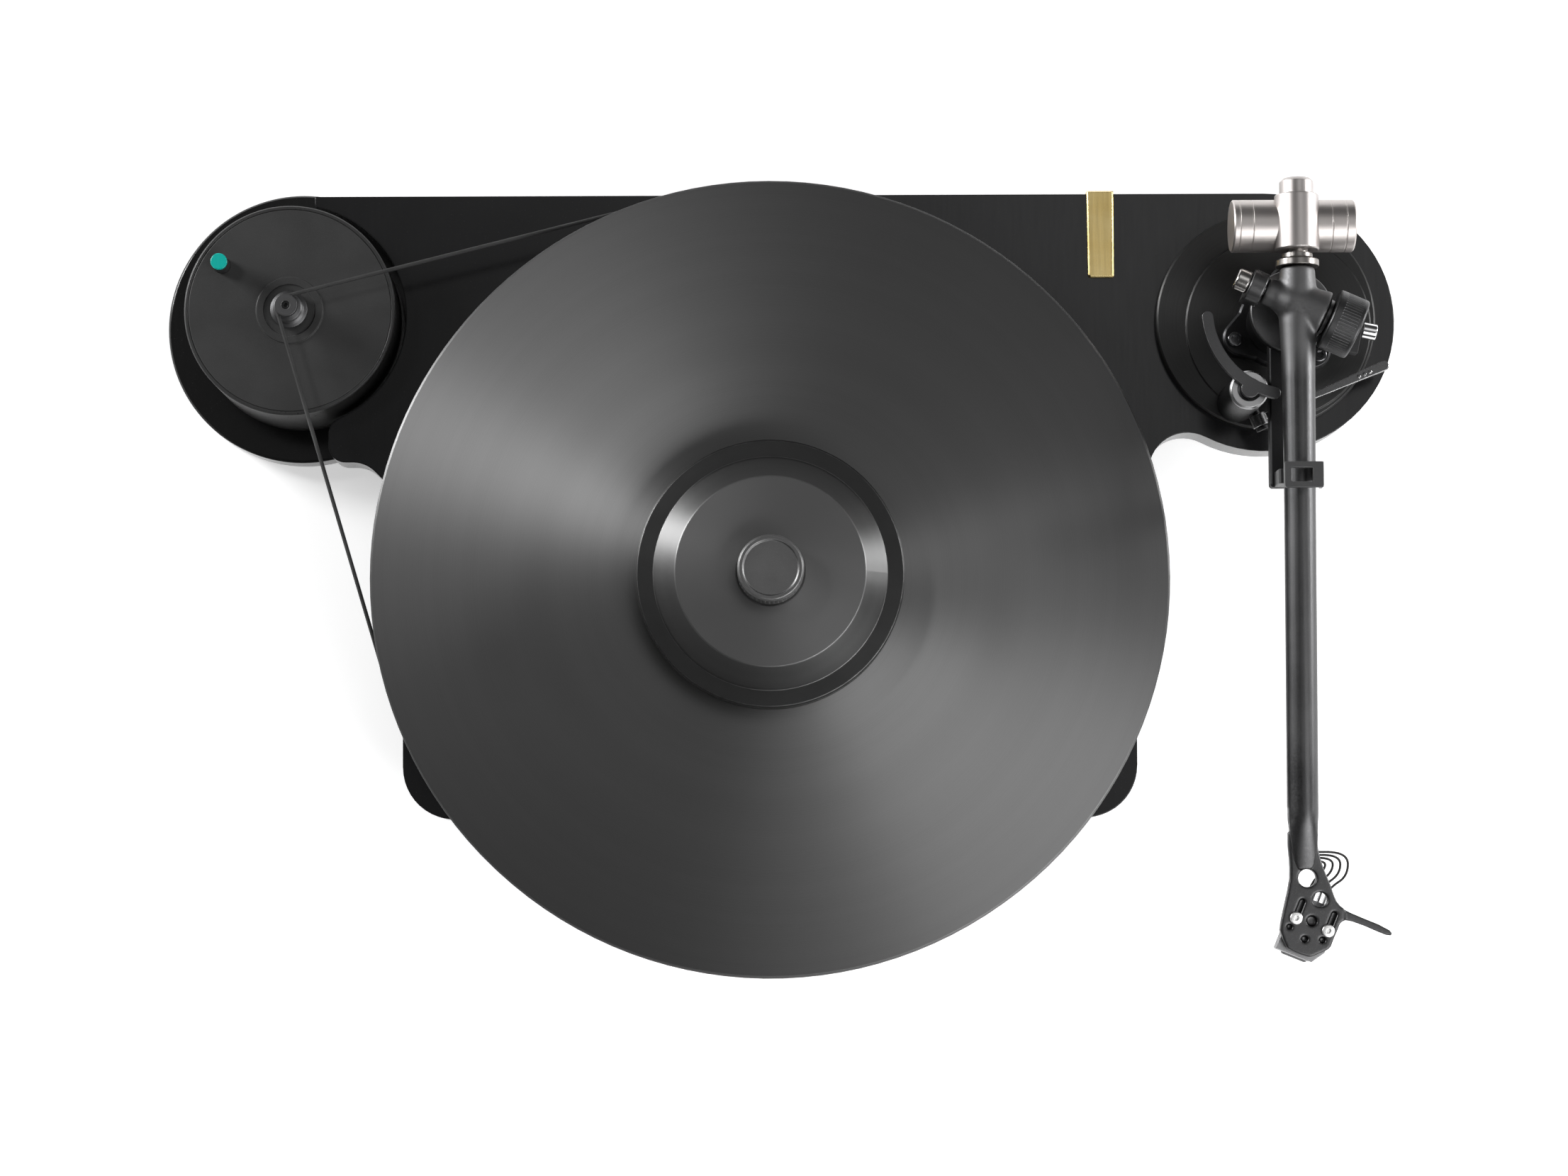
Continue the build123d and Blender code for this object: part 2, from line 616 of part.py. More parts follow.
left_cheek = on_axle(-19.4, -13.7, 6.0)
left_cheek = soft(left_cheek, left_cheek.edges(), (0.6,))
left_cheek += yk * box(-19.4, -13.7, -4.0, 4.0, yoke_z0 + 0.5, arm_z)
left_cheek += yk * box(-19.4, -6.0, -4.0, 4.0, yoke_z0, yoke_z0 + 4.2)
right_cheek = on_axle(10.8, 12.2, 6.6)
right_cheek += yk * box(10.8, 12.2, -5.5, 5.5, yoke_z0 + 1.0, arm_z)
right_cheek += yk * box(7.0, 12.2, -5.5, 5.5, yoke_z0 + 1.0, 83.0)
yoke += left_cheek
yoke += right_cheek
yoke -= on_axle(-40, 40, 2.01)
yoke -= cyl(pivot_x, pivot_y, 70, yoke_z0 + 4.5, 3.0)
parts["arm_yoke"] = yoke
parts["yaw_shaft"] = turned([(0, 53.0), (2.99, 53.0), (2.99, yoke_z0 + 4.2, 0.3), (0, yoke_z0 + 4.2)], pivot_x, pivot_y)
parts["pitch_axle"] = on_axle(-21.0, 22.0, 2.0)
nutx = on_axle(-24.8, -19.5, 4.2)
nutx = soft(nutx, nutx.edges(), (0.9, 0.5))
nutx -= on_axle(-21.0, 0, 2.01)
parts["axle_nut"] = nutx
dial = on_axle(12.5, 24.0, 11.4)
dial = soft(dial, dial.edges(), (0.9, 0.5))
dial -= on_axle(12.0, 22.6, 2.05)
dial -= on_axle(23.5, 25.6, 9.6)
dial += on_axle(22.9, 23.9, 3.2)
# Fine grip grooves round the dial's outer half.
for i in range(60):
    ang = 6.0 * i
    g = Pos(15.6, 0, 0) * Rot(0, 90, 0) * Pos(11.6 * math.cos(math.radians(ang)), 11.6 * math.sin(math.radians(ang)), 0) * Cylinder(0.3, 6.6, align=MINZ)
    dial -= yk * Pos(0, 0, arm_z) * g
parts["force_dial"] = dial

# ---------------------------------------------------------------- arm tube and head
tube_end, neck_end = -92.0, -112.0
arm = turned_y(
    [
        (0, neck_end),
        (1.9, neck_end),
        (tube_r_tip, tube_end, 30),
        (tube_r_mid, 30.0),
        (tube_r_root, 78.0, 200),
        (tube_r_root + 0.75, 92.0),
        (tube_r_root + 0.75, 104.0),
        (tube_r_root + 0.2, 112.5, 0.8),
        (0, 112.5),
    ],
    pivot_x,
    arm_z,
)
# Cross hub that the axle runs through, blended into the tube.
hub = [(-13.3, 0), (-13.3, 5.0), (-8.6, 5.1, 3), (-3.5, 7.4, 6), (3.0, 8.0, 6), (10.4, 9.3), (10.4, 0)]
arm += yk * turned_x(hub, 0, arm_z)


# Plan outline of the head and its finger lift.
head_pts = [
    (189.81, -96.85), (190.19, -107.06), (190.06, -113.86), (189.12, -118.83), (187.77, -124.58), (186.65, -129.55),
    (186.22, -132.69), (187.41, -136.62), (188.60, -139.24), (190.66, -140.45), (193.67, -141.75), (196.94, -142.68),
    (198.64, -142.16), (201.00, -141.12), (203.62, -139.95), (204.67, -138.91), (205.86, -135.91), (207.31, -132.61),
    (208.11, -130.55), (209.00, -129.64), (210.34, -129.22), (212.82, -129.65), (217.34, -131.32), (222.33, -133.51),
    (225.37, -134.70), (226.94, -134.84), (227.46, -134.10), (226.68, -133.03), (222.35, -130.68), (217.35, -128.65),
    (212.68, -126.64), (210.35, -125.45), (208.39, -123.95), (207.04, -122.27), (206.05, -119.94), (205.05, -116.59),
    (203.72, -113.26), (202.40, -109.90), (201.42, -106.57), (200.52, -102.57), (200.39, -96.89),
]
head_face = poly(head_pts)
head_plan = extrude(Pos(0, 0, arm_z - 10) * head_face, 20, dir=(0, 0, 1))
h_y0 = max(p[1] for p in head_pts)
h_y1 = min(p[1] for p in head_pts)
# Side view of the head: a flat plate that the tube thins down to.
side = [(h_y0 + 1.0, arm_z - 2.0), (h_y0 + 1.0, arm_z + 1.6), (h_y1 - 1.0, arm_z + 1.6), (h_y1 - 1.0, arm_z - 2.0)]
side_face = Plane.YZ * poly(side)
side_solid = extrude(side_face, 300, dir=(1, 0, 0))
head = head_plan & side_solid
# Finger lift is thinner than the plate.
fl = prism([(209.45, -121.0), (231.68, -126.84), (231.63, -139.93), (210.19, -132.52)], 80, 120)
head -= fl & box(150, 260, -160, -90, arm_z + 0.6, 120)
head -= fl & box(150, 260, -160, -90, 80, arm_z - 1.2)
arm = arm + head

# Holes of the head.
for hx, hy, r in ((196.37, -113.73, 3.3), (201.02, -121.6, 2.75)):
    arm -= cyl(hx, hy, 80, 120, r)
for hx, hy, r in ((197.83, -129.41, 1.9), (189.63, -131.55, 1.05), (195.13, -136.07, 1.25), (201.65, -136.44, 1.15)):
    arm -= cyl(hx, hy, arm_z - 0.4, 120, r)
screw_pts = [(191.99, -128.39), (203.65, -133.12)]
off = math.atan2(screw_pts[1][1] - screw_pts[0][1], screw_pts[1][0] - screw_pts[0][0])
back = (-math.sin(off), math.cos(off))
for hx, hy in screw_pts:
    arm -= cyl(hx, hy, 80, 120, 1.35)
    # Adjustment slot running back from each screw.
    slot = Pos(hx + back[0] * 3.4, hy + back[1] * 3.4, 0) * Rot(0, 0, math.degrees(off) + 90) * box(-3.4, 3.4, -1.05, 1.05, arm_z - 0.6, arm_z + 5)
    slot += cyl(hx + back[0] * 6.6, hy + back[1] * 6.6, arm_z - 0.6, arm_z + 5, 1.05)
    arm -= slot
# Bore for the cross axle and for the rear stub.
arm -= yk * Pos(0, 0, arm_z) * Rot(0, 90, 0) * Cylinder(2.05, 60)
arm -= turned_y([(0, 106.0), (3.5, 106.0), (3.5, 120.0), (0, 120.0)], pivot_x, arm_z)
# Recess under the neck that the leads come out of.
lead_x = pivot_x + 1.0
lead_ys = (-107.3, -106.2, -105.1, -104.0)
recess_z = arm_z - 1.0
arm -= prism([(lead_x - 1.4, -108.6, 0.8), (lead_x + 2.0, -108.6, 0.8), (lead_x + 2.0, -102.7, 0.8), (lead_x - 1.4, -102.7, 0.8)], arm_z - 8.0, recess_z)
parts["arm_tube"] = arm

hscrews = None
for hx, hy in screw_pts:
    s = turned(
        [(0, arm_z - 4.0), (1.25, arm_z - 4.0), (1.25, arm_z + 1.6), (2.35, arm_z + 1.6), (2.35, arm_z + 3.0, 0.5), (0, arm_z + 3.2)],
        hx,
        hy,
    )
    s -= Pos(hx, hy, arm_z + 2.0) * extrude(RegularPolygon(1.05, 6), 2.0)
    hscrews = s if hscrews is None else hscrews + s
parts["headshell_screws"] = hscrews

# Cartridge, turned by the head's offset angle about the middle of its screws.
mid = ((screw_pts[0][0] + screw_pts[1][0]) / 2, (screw_pts[0][1] + screw_pts[1][1]) / 2)
ct = Pos(mid[0], mid[1], 0) * Rot(0, 0, math.degrees(off))
cart = ct * box(-8.6, 8.6, -12.6, 3.0, arm_z - 5.0, arm_z - 2.0)
cart += ct * prism([(-8.2, -12.6, 0.8), (5.2, -12.6, 0.8), (8.2, -8.0, 0.8), (8.2, 9.0, 1), (-8.2, 9.0, 1)], arm_z - 11.0, arm_z - 5.0)
cart -= ct * prism([(5.2, -13.0), (9.5, -13.0), (9.5, -6.4)], 80, 120)
for hx, hy in screw_pts:
    cart -= cyl(hx, hy, arm_z - 6.0, 120, 1.3)
for i in range(4):
    cart += ct * Pos(-4.1 + 2.2 * i, 9.0, arm_z - 8.0) * Rot(-90, 0, 0) * Cylinder(0.55, 3.6, align=MINZ)
parts["cartridge_body"] = cart
styl = ct * prism([(-5.0, -13.2, 0.8), (5.0, -13.2, 0.8), (4.0, 2.0, 0.8), (-4.0, 2.0, 0.8)], arm_z - 13.2, arm_z - 11.0)
rod = ct * Pos(0, -5.0, arm_z - 12.6) * Rot(90 + 18, 0, 0) * Cylinder(0.35, 6.0, align=MINZ)
tip = ct * Pos(0, -10.2, arm_z - 15.4) * Cone(0.05, 0.5, 1.6, align=MINZ)
parts["stylus_holder"] = styl + rod + tip

# Four thin leads from the recess to the cartridge pins, each looping out to the right.
lead_r = 0.33
leads = []
for i in range(4):
    reach = 8.8 + 2.8 * i
    y = lead_ys[i]
    # Row of pins on the cartridge's back, pointing back along the head's own axis.
    ex = mid[0] + math.cos(off) * (-4.1 + 2.2 * i) + back[0] * 12.6
    ey = mid[1] + math.sin(off) * (-4.1 + 2.2 * i) + back[1] * 12.6
    ez = arm_z - 8.0
    path = FilletPolyline(
        (lead_x, y, recess_z),
        (lead_x, y, arm_z - 6.6),
        (pivot_x + reach, y, arm_z - 7.0),
        (pivot_x + reach, -110.2 - 0.9 * i, arm_z - 7.4),
        (ex + 3.0 * back[0], ey + 3.0 * back[1], ez),
        (ex, ey, ez),
        radius=1.8 + 0.45 * i,
    )
    sec = Plane(origin=path @ 0, z_dir=path % 0) * Circle(lead_r)
    leads.append(sweep(sec, path))
parts["cartridge_leads"] = Compound([x for lead in leads for x in lead.solids()])

# ---------------------------------------------------------------- counterweight
stub = turned_y(
    [
        (0, 106.2),
        (3.48, 106.2),
        (3.48, 112.5),
        (8.0, 112.5),
        (8.0, 115.0, 0.5),
        (5.7, 115.4, 0.6),
        (5.7, 117.4, 0.3),
        (4.0, 117.4),
        (4.0, 143.2),
        (0, 143.2),
    ],
    pivot_x,
    arm_z,
)
parts["arm_stub"] = stub
cw = turned_y(
    [
        (4.05, 118.6),
        (7.7, 118.6, 0.3),
        (8.15, 119.1),
        (8.15, 139.3, 0.5),
        (6.3, 139.3),
        (6.3, 144.2),
        (5.1, 145.4),
        (4.05, 145.4),
    ],
    pivot_x,
    arm_z,
)
# Cross barrel slung under the body, with two fine grooves at each end.
wt_y, wt_r = 128.9, 9.7
wt_z = arm_z - 5.5
groove = wt_r - 0.2
barrel = [(-23.6, 0.0), (-23.6, wt_r - 0.5), (-23.1, wt_r)]
for g in (-21.2, -16.4, 13.0, 18.3):
    barrel += [(g - 0.2, wt_r), (g - 0.1, groove), (g + 0.1, groove), (g + 0.2, wt_r)]
barrel += [(21.3, wt_r), (21.8, wt_r - 0.5), (21.8, 0.0)]
cross = turned_x([(pivot_x + a, b) for a, b in barrel], wt_y, wt_z)
cross -= turned_y([(0, 100), (8.17, 100), (8.17, 150), (0, 150)], pivot_x, arm_z)
parts["counterweight_barrel"] = cross
parts["counterweight_body"] = cw

# ---------------------------------------------------------------- export
shift = Pos(-origin_x, -origin_y, 0)
for name, shape in parts.items():
    out = shift * shape
    solids = out.solids()
    out = solids[0] if len(solids) == 1 else Compound(solids)
    export_step(out, f"parts/{name}.step")
print(len(parts), "nodes, origin", round(origin_x, 3), round(origin_y, 3))
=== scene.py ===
import bpy
import bmesh
import math
from mathutils import Matrix, Vector


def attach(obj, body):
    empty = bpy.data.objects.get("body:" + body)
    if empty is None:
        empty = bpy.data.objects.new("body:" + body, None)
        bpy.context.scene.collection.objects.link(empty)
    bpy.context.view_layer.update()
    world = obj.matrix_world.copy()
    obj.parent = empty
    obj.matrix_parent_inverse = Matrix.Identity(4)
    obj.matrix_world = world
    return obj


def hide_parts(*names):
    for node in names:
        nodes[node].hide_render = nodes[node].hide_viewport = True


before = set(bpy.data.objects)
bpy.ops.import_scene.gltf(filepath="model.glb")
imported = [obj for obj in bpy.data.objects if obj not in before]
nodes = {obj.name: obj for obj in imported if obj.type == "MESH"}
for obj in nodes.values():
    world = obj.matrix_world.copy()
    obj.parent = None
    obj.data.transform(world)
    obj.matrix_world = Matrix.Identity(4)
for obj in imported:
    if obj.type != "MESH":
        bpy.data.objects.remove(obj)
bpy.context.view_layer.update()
scene = bpy.context.scene

# Plan positions, in metres, of the axes that finishes are turned about.
OX, OY = 0.00265, 0.0038
SPINDLE = (-OX, -OY)
MOTOR = (-0.1827 - OX, 0.1046 - OY)
PIVOT = (0.1956 - OX, 0.0985 - OY)
ARM_Z = 0.093
LIFT = (0.1792 - OX, 0.0688 - OY)
BOARD = (0.191 - OX, 0.101 - OY)
FEET = [(0.1392 * math.cos(math.radians(a)) - OX, 0.1392 * math.sin(math.radians(a)) - OY) for a in (210, 330, 90)]


# ---------------------------------------------------------------- node helpers
class Mat:
    """A material under construction: one Principled shader and helpers that add nodes to it."""

    def __init__(self, name):
        self.mat = bpy.data.materials.new(name)
        self.mat.use_nodes = True
        self.tree = self.mat.node_tree
        self.tree.nodes.clear()
        self.out = self.add("ShaderNodeOutputMaterial")
        self.bsdf = self.add("ShaderNodeBsdfPrincipled")
        self.link(self.bsdf.outputs[0], self.out.inputs[0])
        self.coord = self.add("ShaderNodeTexCoord").outputs["Object"]
        self.normal = None

    def add(self, kind, **props):
        n = self.tree.nodes.new(kind)
        for k, v in props.items():
            setattr(n, k, v)
        return n

    def link(self, a, b):
        self.tree.links.new(a, b)

    def set(self, **values):
        for k, v in values.items():
            self.bsdf.inputs[k.replace("_", " ")].default_value = v

    def noise(self, scale, detail=4.0, rough=0.55, vector=None, stretch=None):
        v = vector or self.coord
        if stretch:
            m = self.add("ShaderNodeMapping")
            m.inputs["Scale"].default_value = stretch
            self.link(v, m.inputs["Vector"])
            v = m.outputs[0]
        n = self.add("ShaderNodeTexNoise")
        n.inputs["Scale"].default_value = scale
        n.inputs["Detail"].default_value = detail
        n.inputs["Roughness"].default_value = rough
        self.link(v, n.inputs["Vector"])
        return n.outputs[0]

    def rings(self, axis, centre, scale, detail=5.0, rough=0.75):
        """Noise that changes only with distance from an axis and along it: tool marks of a lathe."""
        sep = self.add("ShaderNodeSeparateXYZ")
        self.link(self.coord, sep.inputs[0])
        i = "xyz".index(axis)
        a, b = [k for k in range(3) if k != i]
        com = self.add("ShaderNodeCombineXYZ")
        for k, c in zip((a, b), centre):
            m = self.add("ShaderNodeMath", operation="SUBTRACT")
            self.link(sep.outputs[k], m.inputs[0])
            m.inputs[1].default_value = c
            self.link(m.outputs[0], com.inputs[k])
        ln = self.add("ShaderNodeVectorMath", operation="LENGTH")
        self.link(com.outputs[0], ln.inputs[0])
        s = self.add("ShaderNodeMath", operation="ADD")
        self.link(ln.outputs["Value"], s.inputs[0])
        self.link(sep.outputs[i], s.inputs[1])
        n = self.add("ShaderNodeTexNoise", noise_dimensions="1D")
        n.inputs["Scale"].default_value = scale
        n.inputs["Detail"].default_value = detail
        n.inputs["Roughness"].default_value = rough
        self.link(s.outputs[0], n.inputs["W"])
        return n.outputs[0], ln.outputs["Value"]

    def span(self, value, lo, hi, from_lo=0.3, from_hi=0.7):
        m = self.add("ShaderNodeMapRange", clamp=True)
        self.link(value, m.inputs["Value"])
        m.inputs["From Min"].default_value = from_lo
        m.inputs["From Max"].default_value = from_hi
        m.inputs["To Min"].default_value = lo
        m.inputs["To Max"].default_value = hi
        return m.outputs[0]

    def mix(self, fac, a, b):
        m = self.add("ShaderNodeMix", data_type="RGBA")
        self.link(fac, m.inputs[0])
        for sock, val in ((m.inputs[6], a), (m.inputs[7], b)):
            if isinstance(val, (tuple, list)):
                sock.default_value = (*val[:3], 1.0)
            else:
                self.link(val, sock)
        return m.outputs[2]

    def times(self, a, b):
        m = self.add("ShaderNodeMath", operation="MULTIPLY")
        for sock, val in zip(m.inputs, (a, b)):
            if isinstance(val, (int, float)):
                sock.default_value = val
            else:
                self.link(val, sock)
        return m.outputs[0]

    def plus(self, a, b):
        m = self.add("ShaderNodeMath", operation="ADD")
        for sock, val in zip(m.inputs, (a, b)):
            if isinstance(val, (int, float)):
                sock.default_value = val
            else:
                self.link(val, sock)
        return m.outputs[0]

    def soften(self, radius):
        """Rounded-edge normals; returns a mask that is 1 on edges."""
        b = self.add("ShaderNodeBevel", samples=6)
        b.inputs["Radius"].default_value = radius
        g = self.add("ShaderNodeNewGeometry")
        d = self.add("ShaderNodeVectorMath", operation="DOT_PRODUCT")
        self.link(g.outputs["Normal"], d.inputs[0])
        self.link(b.outputs[0], d.inputs[1])
        self.normal = b.outputs[0]
        return self.span(d.outputs["Value"], 1.0, 0.0, 0.86, 0.995)

    def bump(self, height, distance, strength=1.0):
        b = self.add("ShaderNodeBump")
        b.inputs["Distance"].default_value = distance
        b.inputs["Strength"].default_value = strength
        self.link(height, b.inputs["Height"])
        if self.normal is not None:
            self.link(self.normal, b.inputs["Normal"])
        self.normal = b.outputs[0]

    def done(self, color=None, rough=None):
        if color is not None:
            self.link(color, self.bsdf.inputs["Base Color"])
        if rough is not None:
            self.link(rough, self.bsdf.inputs["Roughness"])
        if self.normal is not None:
            self.link(self.normal, self.bsdf.inputs["Normal"])
        return self.mat

    def around_z(self):
        t = self.add("ShaderNodeTangent", direction_type="RADIAL", axis="Z")
        self.link(t.outputs[0], self.bsdf.inputs["Tangent"])


def shade(c, k):
    return tuple(min(1.0, x * k) for x in c[:3])


def polished(name, base, rough, var=0.25, edge=None, edge_r=0.0005, spec=0.5, coat=0.0):
    """Smooth gloss plastic or lacquer: faint cloudiness, hairline wipe marks, softened edges, and a painted highlight
    along the edges when an edge colour is given.
    """
    m = Mat(name)
    m.set(Metallic=0.0, Specular_IOR_Level=spec, Coat_Weight=coat, Coat_Roughness=0.05)
    edges = m.soften(edge_r)
    cloud = m.noise(14.0, 5.0)
    wipe = m.noise(900.0, 3.0, stretch=(1.0, 0.06, 1.0))
    dust = m.span(m.noise(2600.0, 2.0, 0.5), 0.0, 1.0, 0.70, 0.80)
    col = m.mix(m.span(cloud, 0.0, 1.0), shade(base, 1 - var), shade(base, 1 + var))
    col = m.mix(m.times(dust, 0.18), col, (0.16, 0.16, 0.155))
    # painted highlight: the edge colour is mixed in along every edge
    if edge:
        col = m.mix(m.times(edges, 0.8), col, edge)
    r = m.plus(m.span(cloud, rough * 0.85, rough * 1.15), m.times(m.span(wipe, 0.0, 1.0), rough * 0.35))
    r = m.plus(r, m.times(dust, 0.25))
    m.bump(wipe, 0.000004, 0.5)
    return m.done(col, r)


def satin(name, base, rough, metallic=1.0, var=0.12, grain=1500.0, grain_depth=0.000012, edge=None, edge_r=0.0004, spec=0.5, edge_gain=0.7):
    """Anodised or painted metal and moulded plastic: fine bead-blast grain, edges lightened partly as wear and partly
    as a painted highlight.
    """
    m = Mat(name)
    m.set(Metallic=metallic, Specular_IOR_Level=spec)
    edges = m.soften(edge_r)
    cloud = m.noise(35.0, 5.0)
    fine = m.noise(grain, 3.0, 0.6)
    speck = m.noise(grain * 2.2, 1.0)
    col = m.mix(m.span(cloud, 0.0, 1.0), shade(base, 1 - var), shade(base, 1 + var))
    col = m.mix(m.times(m.span(speck, 0.0, 1.0, 0.55, 0.75), 0.35), col, shade(base, 1.5))
    if edge:
        # edge colour: partly worn edges, partly a painted highlight along them
        wear_and_edge_highlight = m.times(edges, m.span(m.noise(220.0, 4.0), 0.35, 1.0, 0.35, 0.6))
        col = m.mix(m.times(wear_and_edge_highlight, edge_gain), col, edge)
    r = m.plus(m.span(cloud, rough - 0.04, rough + 0.04), m.span(fine, -0.05, 0.05))
    m.bump(fine, grain_depth)
    return m.done(col, r)


def lathe(name, base, rough, axis="z", centre=SPINDLE, metallic=1.0, aniso=0.0, scale=1800.0, depth=0.000010, var=0.10, edge=None, edge_r=0.0004, edge_gain=0.7, spec=0.5, slow=0.0):
    """Turned surface: concentric tool marks in colour, roughness and bump."""
    m = Mat(name)
    m.set(Metallic=metallic, Anisotropic=aniso, Anisotropic_Rotation=0.25, Specular_IOR_Level=spec)
    edges = m.soften(edge_r)
    ring, _ = m.rings(axis, centre, scale)
    cloud = m.noise(25.0, 4.0)
    col = m.mix(m.span(ring, 0.0, 1.0, 0.25, 0.75), shade(base, 1 - var), shade(base, 1 + var))
    if slow:
        broad, _ = m.rings(axis, centre, 60.0, 3.0)
        col = m.mix(m.times(m.span(broad, 0.0, 1.0), slow), col, shade(base, 1.4))
    if edge:
        # edge colour: partly worn edges, partly a painted highlight along them
        wear_and_edge_highlight = m.times(edges, m.span(m.noise(180.0, 4.0), 0.4, 1.0, 0.35, 0.6))
        col = m.mix(m.times(wear_and_edge_highlight, edge_gain), col, edge)
    r = m.plus(m.span(ring, rough - 0.05, rough + 0.05, 0.25, 0.75), m.span(cloud, -0.025, 0.025))
    m.bump(ring, depth)
    if aniso and axis == "z":
        m.around_z()
    return m.done(col, r)


def bright(name, base, rough, edge_r=0.0003, var=0.06, scuff=0.10):
    """Polished plated metal with faint handling marks."""
    m = Mat(name)
    m.set(Metallic=1.0)
    m.soften(edge_r)
    cloud = m.noise(120.0, 5.0)
    fine = m.noise(1600.0, 3.0)
    col = m.mix(m.span(cloud, 0.0, 1.0), shade(base, 1 - var), shade(base, 1 + var))
    r = m.plus(m.span(cloud, rough * 0.7, rough * 1.3), m.times(m.span(fine, 0.0, 1.0, 0.55, 0.8), scuff))
    m.bump(fine, 0.000003, 0.6)
    return m.done(col, r)


def soft_black(name, base, rough, grain=900.0, depth=0.00004, sheen=0.0):
    """Rubber or felt."""
    m = Mat(name)
    m.set(Metallic=0.0, Sheen_Weight=sheen, Sheen_Roughness=0.6, Specular_IOR_Level=0.35)
    m.soften(0.0004)
    cloud = m.noise(60.0, 5.0)
    fine = m.noise(grain, 5.0, 0.7)
    col = m.mix(m.span(cloud, 0.0, 1.0), shade(base, 0.7), shade(base, 1.4))
    r = m.span(fine, rough - 0.08, min(1.0, rough + 0.08))
    m.bump(fine, depth)
    return m.done(col, r)


# ---------------------------------------------------------------- finishes
PLATTER_BASE = 0.21
M = {}
# the acrylic and lacquer edge colours are painted highlights along the edges
M["acrylic"] = polished("black_acrylic", (0.0075, 0.0075, 0.0080), 0.17, edge=(0.03, 0.03, 0.03), edge_r=0.0007)
M["gloss_base"] = polished("black_lacquer", (0.005, 0.005, 0.005), 0.14, edge=(0.03, 0.03, 0.03), edge_r=0.0006)
M["platter"] = None
M["clamp_knob"] = satin("knob_black", (0.17, 0.17, 0.17), 0.42, edge=(0.7, 0.7, 0.7), edge_r=0.0005)
M["lid"] = satin("lid_black", (0.039, 0.039, 0.039), 0.42, metallic=0.0, grain=1100.0, edge=(0.12, 0.12, 0.12), spec=0.3)
M["can"] = satin("can_black", (0.028, 0.028, 0.028), 0.32, metallic=0.0, edge=(0.06, 0.06, 0.06))
M["foot"] = lathe("foot_black", (0.03, 0.03, 0.032), 0.35, centre=FEET[0], metallic=1.0, edge=(0.15, 0.15, 0.15))
M["board"] = lathe("board_dark", (0.055, 0.055, 0.055), 0.42, centre=BOARD, metallic=1.0, aniso=0.5, scale=1500.0, edge=(0.28, 0.28, 0.28), edge_r=0.0004, edge_gain=0.5)
M["arm_parts"] = satin("arm_black", (0.055, 0.055, 0.057), 0.38, metallic=1.0, grain=1300.0, edge=(0.3, 0.3, 0.3))
M["yoke"] = satin("yoke_satin", (0.14, 0.14, 0.142), 0.40, metallic=1.0, grain=1300.0, edge=(0.4, 0.4, 0.4))
M["cradle"] = satin("cradle_grey", (0.10, 0.10, 0.102), 0.45, metallic=1.0, grain=1300.0, edge=(0.5, 0.5, 0.5), edge_gain=0.5)
M["bar"] = satin("bar_black", (0.04, 0.04, 0.041), 0.55, metallic=1.0, grain=1300.0)
M["bolt"] = bright("dark_chrome", (0.16, 0.16, 0.165), 0.16)
# lever_steel and head_screw: the near-white edge colour is a painted highlight along their edges
M["lever"] = satin("lever_steel", (0.13, 0.13, 0.132), 0.30, metallic=1.0, grain=1800.0, grain_depth=0.000004, edge=(0.95, 0.95, 0.95), edge_r=0.0005, edge_gain=1.0)
M["knurl"] = bright("nickel_plate", (0.62, 0.60, 0.58), 0.20)
M["head_screw"] = satin("head_screw", (0.86, 0.86, 0.85), 0.36, metallic=1.0, grain=2200.0, grain_depth=0.000003, edge=(0.95, 0.95, 0.95), edge_r=0.0002)
M["dial"] = satin("dial_black", (0.09, 0.09, 0.092), 0.40, metallic=1.0, edge=(0.4, 0.4, 0.4))
M["chrome"] = bright("chrome", (0.80, 0.80, 0.81), 0.10)
M["ring"] = bright("ring_satin", (0.46, 0.46, 0.465), 0.30)
M["steel"] = lathe("turned_steel", (0.52, 0.52, 0.53), 0.28, metallic=1.0, scale=2400.0)
M["nickel_x"] = lathe("nickel_barrel", (0.61, 0.571, 0.552), 0.40, axis="x", centre=(0.1289 - OY, ARM_Z - 0.0055), metallic=1.0, scale=5000.0, depth=0.000002, var=0.03, edge=(0.85, 0.82, 0.8), edge_r=0.0003)
M["nickel_y"] = lathe("nickel_body", (0.58, 0.547, 0.533), 0.38, axis="y", centre=(PIVOT[0], ARM_Z), metallic=1.0, scale=5000.0, depth=0.000002, var=0.03, edge=(0.85, 0.82, 0.8), edge_r=0.0003)
M["stub"] = lathe("stub_steel", (0.30, 0.285, 0.27), 0.30, axis="y", centre=(PIVOT[0], ARM_Z), metallic=1.0, scale=5000.0, depth=0.000002, var=0.03)
M["bronze"] = lathe("bronze", (0.50, 0.32, 0.13), 0.33, metallic=1.0)
M["rubber"] = soft_black("rubber", (0.022, 0.022, 0.022), 0.62)
M["felt"] = soft_black("felt", (0.03, 0.03, 0.03), 0.9, grain=700.0, depth=0.00012, sheen=0.3)
M["plastic"] = satin("black_plastic", (0.022, 0.022, 0.023), 0.45, metallic=0.0, grain=900.0, edge=(0.07, 0.07, 0.07))
M["clip"] = satin("clip_plastic", (0.045, 0.045, 0.046), 0.38, metallic=0.0, grain=900.0, edge=(0.2, 0.2, 0.2))
M["stylus"] = satin("stylus_grey", (0.20, 0.20, 0.205), 0.45, metallic=0.0, grain=900.0)
M["cartridge"] = satin("cartridge_grey", (0.26, 0.26, 0.265), 0.40, metallic=1.0, grain=1200.0)
M["teal"] = polished("teal_cap", (0.0, 0.41, 0.355), 0.22, var=0.08, edge_r=0.0003)
M["green"] = satin("board_green", (0.03, 0.12, 0.05), 0.5, metallic=0.0)
M["pulley"] = lathe("pulley_grey", (0.12, 0.12, 0.122), 0.45, centre=MOTOR, metallic=1.0, edge=(0.25, 0.25, 0.25), edge_r=0.0003)
